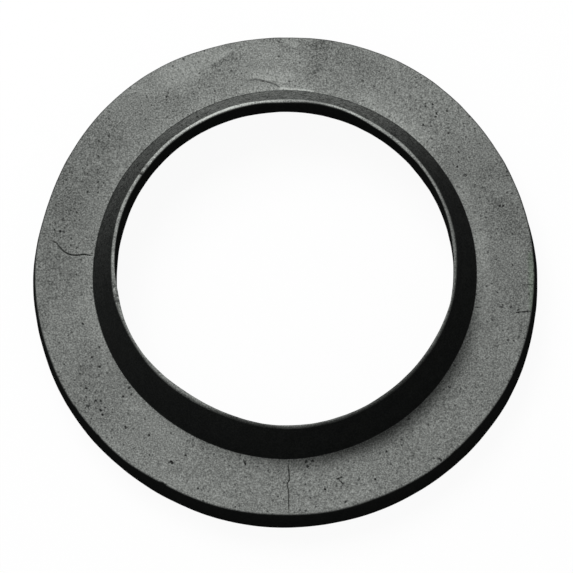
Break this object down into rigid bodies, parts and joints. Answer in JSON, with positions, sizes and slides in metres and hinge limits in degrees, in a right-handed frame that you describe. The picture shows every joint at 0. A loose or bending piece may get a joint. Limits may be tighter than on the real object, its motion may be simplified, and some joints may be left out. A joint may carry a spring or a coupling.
{
  "type": "flush valve base seal",
  "caption": "Round rubber seal with a thick flat flange, a tapered centring collar and a plain through bore.",
  "frame": {"origin": "centre of the flange's underside, on the ring's axis", "axes": "+Z along the ring's axis, from the flange towards the rim of the collar"},
  "size_m": [0.09, 0.09, 0.0138],
  "materials": {
    "bloomed_rubber": "matt black rubber with a grey bloom on the upper face of the flange"
  },
  "bodies": {
    "root": {"base_seal": "bloomed_rubber"}
  },
  "joints": []
}
